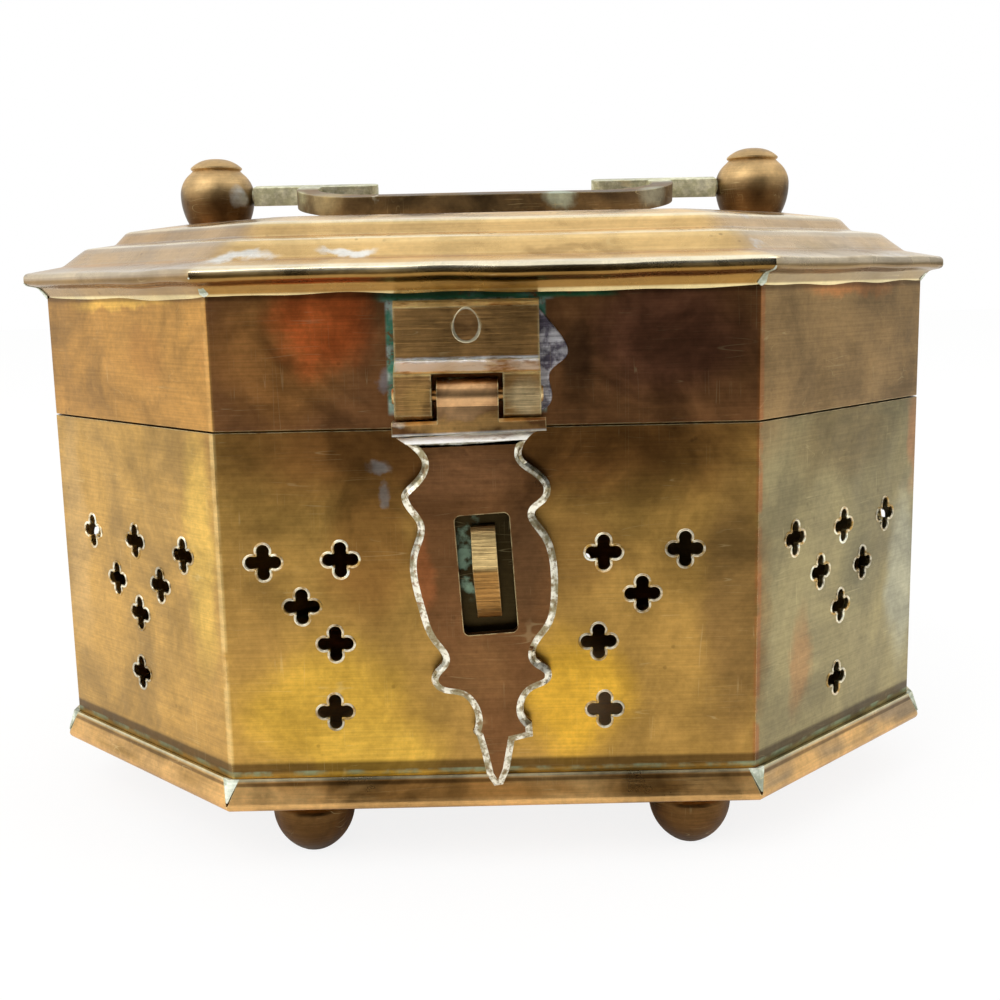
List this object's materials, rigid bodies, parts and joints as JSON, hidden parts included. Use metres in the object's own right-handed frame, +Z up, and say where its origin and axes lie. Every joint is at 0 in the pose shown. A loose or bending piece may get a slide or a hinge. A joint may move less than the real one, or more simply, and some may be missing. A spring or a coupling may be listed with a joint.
{
  "type": "trinket box",
  "caption": "Footed octagonal sheet-brass box with a stepped hinged lid, swing handle between posts, hasp over a staple, and pierced walls.",
  "frame": {"origin": "centre of the plan at the bottom of the feet", "axes": "+X to the right along the long side seen from the front, +Y to the rear, +Z up; the hasp is on the -Y side"},
  "size_m": [0.165, 0.1172, 0.1182],
  "materials": {
    "body_wall": "aged, worn",
    "base_pan": "aged, worn",
    "base_corner_solder": "dull, weathered",
    "foot_front_left": "dark bronze patina",
    "foot_front_right": "dark bronze patina",
    "foot_rear_left": "dark bronze patina",
    "foot_rear_right": "dark bronze patina",
    "staple": "aged, worn",
    "hinge_left_body_leaf": "aged, worn",
    "hinge_left_body_rivets": "aged, worn",
    "hinge_right_body_leaf": "aged, worn",
    "hinge_right_body_rivets": "aged, worn",
    "lid_wall": "aged, worn",
    "lid_top": "aged, worn",
    "lid_corner_solder": "dull, weathered",
    "handle_post_left": "antique, dark below",
    "handle_post_right": "antique, dark below",
    "hasp_leaf": "aged, worn",
    "hasp_pin": "aged, worn",
    "hasp_rivet": "aged, worn",
    "leaf_solder": "dull, weathered",
    "hinge_left_lid_leaf": "aged, worn",
    "hinge_left_pin": "aged, worn",
    "hinge_left_lid_rivets": "aged, worn",
    "hinge_right_lid_leaf": "aged, worn",
    "hinge_right_pin": "aged, worn",
    "hinge_right_lid_rivets": "aged, worn",
    "handle": "aged, worn",
    "hasp": "aged, worn"
  },
  "bodies": {
    "box": {"body_wall": "body_wall", "base_pan": "base_pan", "base_corner_solder": "base_corner_solder", "foot_front_left": "foot_front_left", "foot_front_right": "foot_front_right", "foot_rear_left": "foot_rear_left", "foot_rear_right": "foot_rear_right", "staple": "staple", "hinge_left_body_leaf": "hinge_left_body_leaf", "hinge_left_body_rivets": "hinge_left_body_rivets", "hinge_right_body_leaf": "hinge_right_body_leaf", "hinge_right_body_rivets": "hinge_right_body_rivets"},
    "lid": {"lid_wall": "lid_wall", "lid_top": "lid_top", "lid_corner_solder": "lid_corner_solder", "handle_post_left": "handle_post_left", "handle_post_right": "handle_post_right", "hasp_leaf": "hasp_leaf", "hasp_pin": "hasp_pin", "hasp_rivet": "hasp_rivet", "leaf_solder": "leaf_solder", "hinge_left_lid_leaf": "hinge_left_lid_leaf", "hinge_left_pin": "hinge_left_pin", "hinge_left_lid_rivets": "hinge_left_lid_rivets", "hinge_right_lid_leaf": "hinge_right_lid_leaf", "hinge_right_pin": "hinge_right_pin", "hinge_right_lid_rivets": "hinge_right_lid_rivets"},
    "handle": {"handle": "handle"},
    "hasp": {"hasp": "hasp"}
  },
  "joints": [
    {"name": "lid_hinge", "type": "hinge", "parent": "box", "child": "lid", "pos_m": [0, 0.0553, 0.07212], "axis": [-1, 0, 0], "range_deg": [0, 96]},
    {"name": "handle_swing", "type": "hinge", "parent": "lid", "child": "handle", "pos_m": [0.00045, 0, 0.1113], "axis": [-1, 0, 0], "range_deg": [0, 199.5]},
    {"name": "hasp_swing", "type": "hinge", "parent": "lid", "child": "hasp", "pos_m": [-0.0027, -0.055, 0.0775], "axis": [-1, 0, 0], "range_deg": [0, 111]}
  ],
  "couplings": [
    {"joint": "hasp_swing", "follows": "lid_hinge", "ratio": 1.15}
  ]
}
